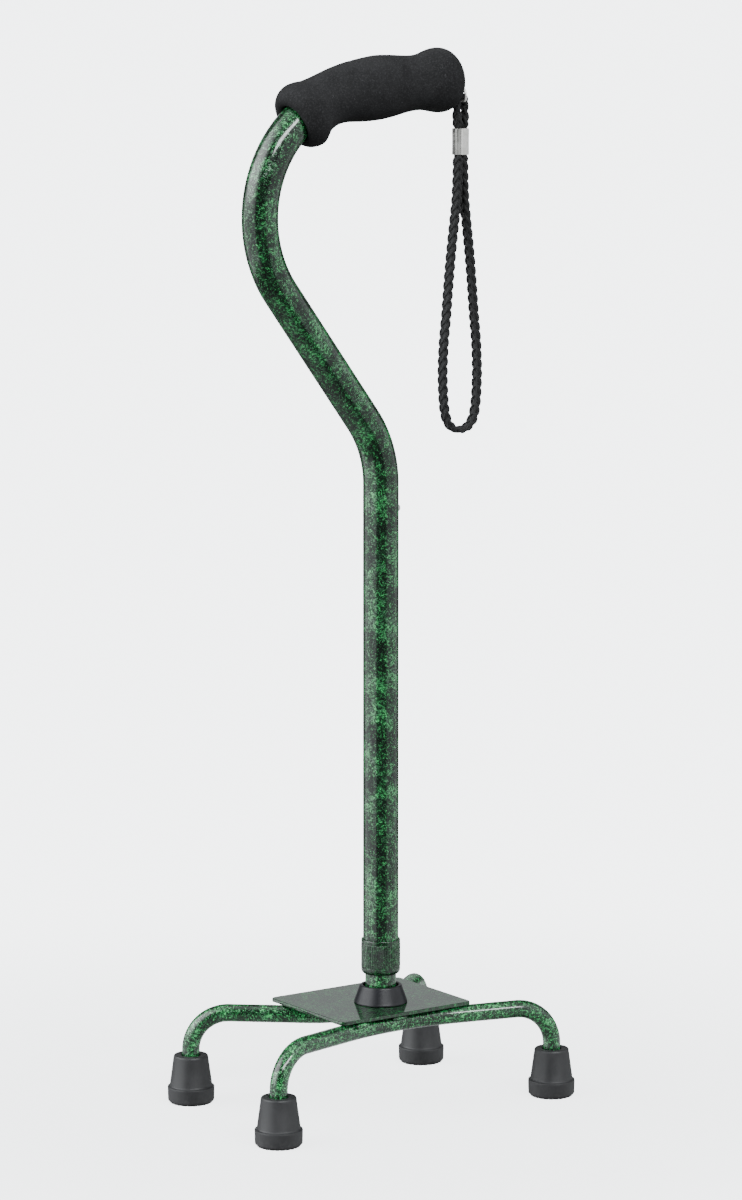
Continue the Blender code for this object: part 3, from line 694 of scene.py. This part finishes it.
def foam_point(along):
    """Centre line of the foam, and its tangent, at a distance from its mouth."""
    round_bend = MOUTH_ANGLE * UPPER_BEND_R
    if along > round_bend:
        x, z = grip_point(along - round_bend)
        angle = math.pi / 2 + GRIP_RISE
    else:
        cx, cz = neck_centres()[1]
        angle = math.pi / 2 + GRIP_RISE + (round_bend - along) / UPPER_BEND_R
        x, z = cx + UPPER_BEND_R * math.cos(angle), cz + UPPER_BEND_R * math.sin(angle)
    return Vector((SHAFT.x + x, SHAFT.y, z)), Vector((math.cos(angle), 0, math.sin(angle)))


def foam_grip():
    """Moulded foam grip: swollen at both ends and under the palm, with a soft lip round the tube."""
    outline = [(0.0, 15.4), (0.15, 16.6), (1.1, 18.6), (3.5, 21.0), (8.5, 23.2), (14.0, 23.9), (19.5, 22.6),
               (25.0, 20.5), (31.0, 19.4), (38.0, 19.2), (47.0, 19.9), (58.0, 21.1), (70.0, 22.0),
               (80.0, 22.0), (91.0, 20.9), (102.0, 19.5), (111.0, 19.1), (118.0, 19.9), (124.0, 21.6),
               (130.0, 22.8), (135.0, 22.6), (139.5, 20.9), (143.3, 17.6), (145.9, 13.4), (147.4, 8.0),
               (147.9, 3.6), (148.0, 0.0)]
    inside = [(142.4, 0.0), (142.4, 13.0), (100.0, 13.0), (59.6, 13.0), (40.0, 13.0), (20.0, 13.0),
              (6.0, 13.0), (2.0, 13.1), (0.6, 13.6), (0.0, 14.4)]
    steps = 96
    rng = random.Random(7)
    dents = [(rng.uniform(5, 140), rng.uniform(0, math.tau), rng.uniform(4, 11), rng.uniform(-0.16, 0.12))
             for _ in range(90)]

    def swelling(s, r, angle):
        """The palm's crown and the hand's small dents, in mm."""
        outer = 0.5 + 0.5 * math.cos(angle)
        swell = math.exp(-((s - 92.0) / 22.0) ** 2) * 1.4 * outer ** 2
        for ds, da, size, depth in dents:
            gap = abs((angle - da + math.pi) % math.tau - math.pi) * r
            far = ((s - ds) ** 2 + gap * gap) / (size * size)
            if far < 4:
                swell += depth * math.exp(-2 * far)
        return swell

    body = bmesh.new()
    rows = []
    smooth = [(p.x, max(p.y, 0.0)) for p in catmull([Vector((s, r, 0)) for s, r in outline], 5)]
    for number, (s, r) in enumerate([*inside, *smooth]):
        centre, up = foam_point(s * MM)
        along = Vector((up.z, 0, -up.x))
        if r < 0.01:
            rows.append([body.verts.new(centre)])
            continue
        back = max(0.0, 1.0 - s / 27.0) ** 1.3 * 8.2          # the mouth's outer lip is cut back
        tuck = math.exp(-((s - 20.0) / 9.0) ** 2) * 1.8       # and its inner lip is drawn out
        row = []
        for k in range(steps):
            angle = k * math.tau / steps
            outer = 0.5 + 0.5 * math.cos(angle)
            spot = (r + (swelling(s, r, angle) if number >= len(inside) else 0.0)) * MM
            slide = along * (back * outer - tuck * (1.0 - outer)) * MM
            row.append(body.verts.new(centre + slide + up * spot * math.cos(angle)
                                      + Vector((0, spot * math.sin(angle), 0))))
        rows.append(row)
    skin_rows(body, rows)
    grip = add_mesh("foam_grip_soft", body, FOAM, 50)
    stand_in(grip, "handle", "foam_grip")


def strap_eye():
    """Screw eye of bent wire, its loop closed against its shank."""
    back = Vector((math.cos(GRIP_RISE), 0, math.sin(GRIP_RISE)))
    centre = Vector((STRAP_X, SHAFT.y, EYE_Z))
    start = math.pi + GRIP_RISE
    turns = arc((0, 0), EYE_R, start + math.tau - 0.12, start + 0.1, 40)
    loop = [centre + Vector((x, 0, z)) for x, z in turns]
    shank = [centre - back * (EYE_R + d * MM) for d in (0.7, 2.0, 6.0, 12.0, 18.0)]
    eye = swept("strap_eye_wire", catmull(loop[:-1] + shank, 2), WIRE_R, NICKEL_WIRE)
    stand_in(eye, "handle", "strap_eye")


def strap_ring():
    """D-ring: a straight bar for the strap and an arc through the eye."""
    corner = 1.6 * MM
    bar = RING_BAR_Z - RING_ARC_Z
    outline = arc((0.0, 0.0), RING_HALF, 0.0, math.pi, 32)
    outline += arc((-RING_HALF + corner, bar + corner), corner, math.pi, 1.5 * math.pi, 8)
    outline += arc((RING_HALF - corner, bar + corner), corner, -0.5 * math.pi, 0.0, 8)
    path = [Vector((STRAP_X, SHAFT.y + y, RING_ARC_Z + z)) for y, z in outline]
    ring = swept("strap_ring_wire", path, WIRE_R, NICKEL_WIRE, closed=True)
    stand_in(ring, "ring", "strap_ring")


def dress(node, look, bevel=0.2 * MM):
    """Give a carried-over CAD piece its look, and ease its edges."""
    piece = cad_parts[node]
    piece.data.materials.clear()
    piece.data.materials.append(look)
    ease = piece.modifiers.new("ease", "BEVEL")
    ease.width = bevel
    ease.segments = 2
    ease.limit_method = "ANGLE"
    ease.angle_limit = math.radians(40)
    ease.harden_normals = False


handle_tube()
foam_grip()
strap_eye()
strap_ring()


# ---------------------------------------------------------------- height setting

def lock_collar():
    """Knurled collar: fine upright ribs between two plain bands."""
    low, high = 97.6, 122.7
    rib_top, rib_count, rib_depth = 14.1, 32, 0.30
    profile = [(13.05, high - 0.3), (13.3, high), (13.5, high), (13.8, high - 0.15), (14.0, high - 0.6),
               (14.0, high - 2.4), (13.75, high - 2.7), (13.75, high - 3.0), (rib_top, high - 3.4)]
    profile += [(rib_top, low + 5.4 + (high - low - 8.8) * k / 6) for k in range(5, 0, -1)]
    profile += [(rib_top, low + 5.4), (13.75, low + 5.0), (13.75, low + 4.7), (14.05, low + 4.4),
                (14.0, low + 2.6), (13.6, low + 1.2), (12.9, low + 0.25), (12.5, low), (11.6, low),
                (11.5, low + 0.15), (11.5, low + 1.0), (13.05, low + 1.0)]

    def ribs(angle, radius, height):
        if radius == rib_top:
            return radius - rib_depth * abs(math.sin(angle * rib_count)) ** 1.5
        return radius

    collar = turned("lock_collar_knurled", profile, COLLAR_PAINT, SHAFT, 384, ribs)
    stand_in(collar, "collar", "lock_collar")


def snap_button():
    """Domed button with a flange inside the inner tube's wall."""
    profile = [(0.0, 16.3), (0.7, 16.25), (1.4, 16.0), (2.0, 15.55), (2.5, 14.9), (2.85, 14.1), (3.0, 13.2),
               (3.0, 8.5), (4.0, 8.5), (4.1, 8.4), (4.1, 7.5), (4.0, 7.4), (0.0, 7.4)]
    button = turned("snap_button_head", profile, ZINC, (0, 0, 0), 48)
    button.data.transform(along_x((SHAFT.x, SHAFT.y, BUTTON_Z)))
    stand_in(button, "button", "snap_button")


def inner_tube():
    """Inner tube, with the one hole that its button stands in."""
    foot, top = INNER_Z
    path = [SHAFT + Vector((0, 0, foot + (top - foot) * k / 24)) for k in range(25)]
    tube = hollow_tube("inner_tube_painted", path, INNER_R, INNER_BORE_R, PAINT, 64)
    drill(tube, [along_x((SHAFT.x + INNER_R, SHAFT.y, BUTTON_Z))], BUTTON_HOLE_R, 8.0 * MM, 32)
    stand_in(tube, "base", "inner_tube")


lock_collar()
snap_button()
inner_tube()


# ---------------------------------------------------------------- base

def base_socket():
    """Moulded cone round the foot of the shaft, with a rolled rim and a fine step near its foot."""
    foot = 76.1
    profile = [(11.5, foot), (19.0, foot), (19.15, foot + 0.15), (19.15, foot + 0.8), (18.95, foot + 1.2),
               (18.7, foot + 1.9), (15.35, foot + 11.5), (15.15, foot + 12.1), (14.9, foot + 12.5),
               (14.5, foot + 12.7), (13.4, foot + 12.7), (13.0, foot + 12.5), (12.9, foot + 12.2),
               (12.9, foot + 9.6), (11.5, foot + 9.0)]
    made = turned("base_socket_moulded", profile, PLASTIC, SHAFT, 128)
    stand_in(made, "base", "base_socket")


def base_plate():
    """Flat steel plate with eased edges and a hole for the bolt."""
    low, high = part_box("base_plate")
    centre = (Vector(low) + Vector(high)) / 2
    size = Vector(high) - Vector(low)
    corner = 5.0 * MM
    body = bmesh.new()
    outline = []
    for sx, sy, start in ((1, 1, 0), (-1, 1, 90), (-1, -1, 180), (1, -1, 270)):
        cx = centre.x + sx * (size.x / 2 - corner)
        cy = centre.y + sy * (size.y / 2 - corner)
        for k in range(9):
            angle = math.radians(start + k * 90 / 8)
            outline.append((cx + corner * math.cos(angle), cy + corner * math.sin(angle), math.cos(angle),
                            math.sin(angle)))
    ease = 0.7 * MM
    edge = ((1.6, 0.0), (1.0, 0.0), (0.3, 0.3), (0.0, 1.0))    # inset and depth, in eases
    levels = [(inset * ease, low[2] + depth * ease) for inset, depth in edge]
    levels += [(inset * ease, high[2] - depth * ease) for inset, depth in reversed(edge)]
    rows = []
    for inset, height in levels:
        rows.append([body.verts.new((x - nx * inset, y - ny * inset, height)) for x, y, nx, ny in outline])
    skin_rows(body, rows)
    body.faces.new(rows[0])
    body.faces.new(rows[-1])
    plate = add_mesh("base_plate_painted", body, PLATE_PAINT)
    drill(plate, [Matrix.Translation((SHAFT.x, SHAFT.y, centre.z))], BOLT_HOLE_R, 20.0 * MM, 48)
    stand_in(plate, "base", "base_plate")


def leg_plan(legs, x):
    """A leg tube's y, at an x from the middle of the pair."""
    turn = legs["splay"]
    sag = legs["bend"] * (1 - math.cos(turn))
    half_arc = legs["bend"] * math.sin(abs(turn))
    slope = math.tan(turn)
    middle = legs["y"] + slope * (legs["half"] - half_arc) + math.copysign(sag, turn)
    x = abs(x)
    if x > half_arc:
        return middle - math.copysign(sag, turn) - slope * (x - half_arc)
    return middle - math.copysign(legs["bend"] - math.sqrt(legs["bend"] ** 2 - x * x), turn)


def leg_path(legs):
    """Centre line of a pair of legs, from foot to foot."""
    turn = abs(legs["splay"])
    half_arc = legs["bend"] * math.sin(turn)
    outward = Vector((math.cos(turn), -math.sin(legs["splay"]), 0))
    side = [Vector((half_arc * k / 16, leg_plan(legs, half_arc * k / 16), LEG_Z)) for k in range(17)]
    foot = Vector((legs["half"], legs["y"], 0))
    bend = []
    for k in range(25):
        angle = k / 24 * math.pi / 2
        bend.append(foot + outward * LEG_BEND_R * (math.sin(angle) - 1)
                    + Vector((0, 0, LEG_Z - LEG_BEND_R * (1 - math.cos(angle)))))
    side += [side[-1].lerp(bend[0], k / 6) for k in range(1, 6)]
    side += bend
    side += [foot + Vector((0, 0, z)) for z in (0.030, 0.020, LEG_FOOT_Z)]
    path = [Vector((-p.x, p.y, p.z)) for p in reversed(side[1:])] + side
    return [p + Vector((legs["mid"], 0, 0)) for p in path]


def leg_tubes():
    for node, legs in (("front_leg_tube", FRONT_LEGS), ("rear_leg_tube", REAR_LEGS)):
        tube = hollow_tube(node + "_painted", leg_path(legs), LEG_R, LEG_BORE_R, LEG_PAINT_PAINTED_SHEEN, 48)
        stand_in(tube, "base", node)


def weld_beads():
    """Rippled beads, one lap over the next, under the paint."""
    length, lap, radius = 13.0, 2.1, 1.55
    places = {"front_weld_left": (FRONT_LEGS, -0.040), "front_weld_right": (FRONT_LEGS, -0.004),
              "rear_weld_left": (REAR_LEGS, -0.046), "rear_weld_right": (REAR_LEGS, 0.046)}
    for name, (legs, x) in places.items():
        low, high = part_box(name)
        centre = (Vector(low) + Vector(high)) / 2
        spot = Vector((x, leg_plan(legs, x), 0))
        along = (Vector((x + MM, leg_plan(legs, x + MM), 0)) - spot).normalized()
        path = []
        radii = []
        for k in range(53):
            s = (k / 52 - 0.5) * length
            path.append(centre + along * s * MM)
            end = math.sqrt(max(1e-3, 1 - (abs(s) / 6.55) ** 4))
            radii.append(MM * radius * end * (0.86 + 0.14 * math.sin(s / lap % 1.0 * math.pi)))
        bead = swept(name + "_bead", path, radii, LEG_PAINT_PAINTED_SHEEN)
        stand_in(bead, "base", name)


def rubber_tips():
    """Rubber tips: a tapered skirt, a moulded step, a notched rim and a ring tread."""
    seat = LEG_FOOT_Z / MM - 2.0
    profile = [(0.0, seat), (6.3, seat), (6.6, seat + 0.3), (6.62, 33.6), (6.95, 34.6), (7.6, 35.0),
               (11.3, 35.0), (12.0, 34.8), (12.45, 34.2), (12.6, 33.3), (15.35, 13.3), (15.65, 12.5),
               (16.3, 12.05), (16.8, 11.85), (17.0, 11.3), (17.0, 10.6), (16.8, 2.6), (16.7, 1.9),
               (16.4, 1.45), (16.0, 1.3), (15.7, 1.2), (15.5, 0.9), (15.3, 0.1), (15.2, 0.0), (12.8, 0.0),
               (12.6, 0.15), (12.4, 1.2), (12.2, 1.35), (10.6, 1.35), (10.4, 1.2), (10.2, 0.15), (10.0, 0.0),
               (6.6, 0.0), (6.4, 0.15), (6.2, 1.2), (6.0, 1.35), (3.2, 1.35), (3.0, 1.2), (2.8, 0.2),
               (2.6, 0.0), (0.0, 0.0)]

    def tread(angle, radius, height):
        if height < 1.25 and radius > 15.0:
            return radius - 0.8 * max(0.0, math.cos(angle * 24)) ** 2
        return radius

    for name, legs, side in (("tip_front_left", FRONT_LEGS, -1), ("tip_front_right", FRONT_LEGS, 1),
                             ("tip_rear_left", REAR_LEGS, -1), ("tip_rear_right", REAR_LEGS, 1)):
        spot = (legs["mid"] + side * legs["half"], legs["y"], 0.0)
        tip = turned(name + "_moulded", profile, RUBBER, spot, 144, tread)
        stand_in(tip, "base", name)


base_socket()
base_plate()
leg_tubes()
weld_beads()
rubber_tips()

for hidden in ("handle_end_plug", "collet_ring", "tube_cap"):
    dress(hidden, NYLON)
for hidden in ("base_bolt", "base_washer", "base_spigot", "button_spring", "tip_washer_front_left",
               "tip_washer_front_right", "tip_washer_rear_left", "tip_washer_rear_right"):
    dress(hidden, ZINC, 0.15 * MM)


# ---------------------------------------------------------------- studio

FLOOR_R = 120.0
LEFT_PANEL = (-120.0, -30.0, -32.0, 58.0, 2.0)      # left, right, bottom and top in degrees, strength
RIGHT_PANEL = (38.0, 124.0, -32.0, 58.0, 1.05)
LEFT_SOFTBOX = (-108.0, -46.0, 10.0, 50.0, 7.5, 13.0)    # and how soft its edges are
RIGHT_SOFTBOX = (50.0, 108.0, 10.0, 50.0, 1.0, 13.0)
KEY_STRIP = (3.0, 52.0, 30.0, 40.0, 34.0, 3.5)
BACK_STRENGTH = 0.53
AMBIENT = 0.06
BACKDROP = 5.2


def studio_floor():
    """A wide pale floor, densest under the object, that thins away into the bright backdrop."""
    made, n = new_material("floor_look")
    where = n.place()
    grain = n.noise(where, 6.0, 3.0, 0.5)
    matte = n.add("ShaderNodeBsdfDiffuse", {"Color": n.mix(grain, (0.84, 0.84, 0.84), (0.87, 0.87, 0.87))})
    clear = n.add("ShaderNodeBsdfTransparent")
    away = n.vector("LENGTH", where)
    both = n.add("ShaderNodeMixShader", {"Fac": n.span(away, 0.15, 0.75, 0.40, 0.06)})
    n.tree.links.new(clear.outputs[0], both.inputs[1])
    n.tree.links.new(matte.outputs[0], both.inputs[2])
    n.add("ShaderNodeOutputMaterial", {"Surface": both.outputs[0]})
    body = bmesh.new()
    bmesh.ops.create_circle(body, cap_ends=True, segments=96, radius=FLOOR_R)
    floor = add_mesh("floor", body, made)


def studio_light():
    """A virtual studio.

    Wide soft panels left and right, a soft top, a bright key strip high in front, a dim light low behind and
    dark gaps between them.  Angles count from the camera's side.  Only the camera sees the bright backdrop.
    """
    world = bpy.data.worlds.new("studio")
    bpy.context.scene.world = world
    world.use_nodes = True
    n = Nodes(world.node_tree)
    turned_to_camera = n.add("ShaderNodeMapping", {"Vector": n.place("Generated"),
                                                   "Rotation": (0.0, 0.0, math.radians(90.0 - CAMERA_TURN))},
                             vector_type="POINT")
    parts = n.add("ShaderNodeSeparateXYZ", {"Vector": turned_to_camera.outputs[0]})
    x, y, z = parts.outputs[0], parts.outputs[1], parts.outputs[2]
    degrees = 180.0 / math.pi
    angle = n.math("MULTIPLY", n.math("ARCTAN2", y, x), degrees)
    rise = n.math("MULTIPLY", n.math("ARCSINE", z), degrees)

    def window(value, low, high, soft):
        opens = n.span(value, low - soft, low + soft)
        return n.math("MULTIPLY", opens, n.span(value, high + soft, high - soft))

    def panel(left, right, bottom, top, strength, soft=6.0):
        both = n.math("MULTIPLY", window(angle, left, right, soft), window(rise, bottom, top, soft))
        return n.math("MULTIPLY", both, strength)

    light = n.math("ADD", panel(*LEFT_PANEL), panel(*RIGHT_PANEL))
    light = n.math("ADD", light, n.span(rise, 52.0, 75.0, 0.0, 2.0))
    light = n.math("ADD", light, n.math("ADD", panel(*LEFT_SOFTBOX), panel(*RIGHT_SOFTBOX)))
    light = n.math("ADD", light, panel(*KEY_STRIP))
    back = n.span(n.math("ABSOLUTE", angle), 146.0, 160.0)
    low = n.math("MULTIPLY", n.span(rise, 2.0, 8.0), n.span(rise, 32.0, 20.0))
    light = n.math("ADD", light, n.math("MULTIPLY", n.math("MULTIPLY", back, low), BACK_STRENGTH))
    light = n.math("ADD", light, AMBIENT)
    seen = n.add("ShaderNodeLightPath").outputs["Is Camera Ray"]
    lit = n.math("MULTIPLY", n.math("SUBTRACT", 1.0, seen), light)
    shown = n.math("ADD", lit, n.math("MULTIPLY", seen, BACKDROP))
    glow = n.add("ShaderNodeBackground", {"Color": (0.97, 1.0, 1.02, 1.0), "Strength": shown})
    n.add("ShaderNodeOutputWorld", {"Surface": glow.outputs[0]})


studio_floor()
studio_light()
